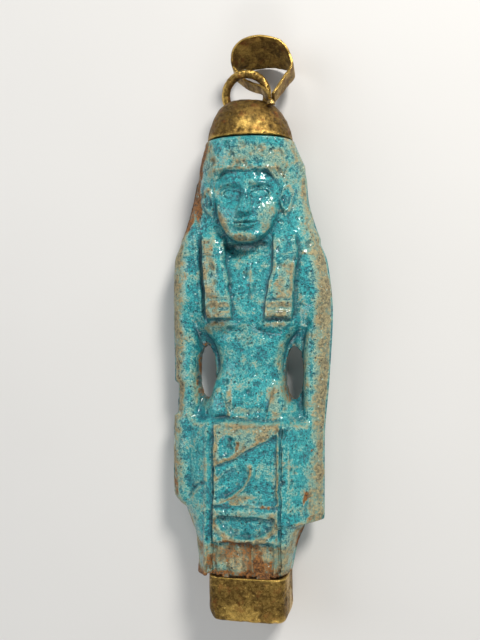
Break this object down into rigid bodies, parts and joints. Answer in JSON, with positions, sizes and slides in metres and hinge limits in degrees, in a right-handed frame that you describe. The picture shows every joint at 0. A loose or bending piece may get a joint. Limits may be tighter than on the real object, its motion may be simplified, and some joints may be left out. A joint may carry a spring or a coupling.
{
  "type": "bronze-mounted amulet",
  "caption": "Standing figure of turquoise glazed faience on a back pillar, with a bronze head cap, wire ring, strap bail and foot cap, lying on its back",
  "frame": {"origin": "middle of the whole part's box, on the floor that it lies on", "axes": "+Y from the foot to the head, +Z from the back pillar to the face, +X to the viewer's right when it lies face up with the head away"},
  "size_m": [0.0202, 0.0712, 0.0101],
  "materials": {
    "faience": "worn glaze, pitted",
    "cap_bronze": "aged, brown patina",
    "foot_bronze": "aged, rubbed bright in places",
    "ring_bronze": "aged, rubbed bright on top",
    "bail_bronze": "aged, dull"
  },
  "bodies": {
    "root": {"figure": "faience", "head_cap": "cap_bronze", "foot_cap": "foot_bronze", "suspension_ring": "ring_bronze", "bail": "bail_bronze"}
  },
  "joints": []
}
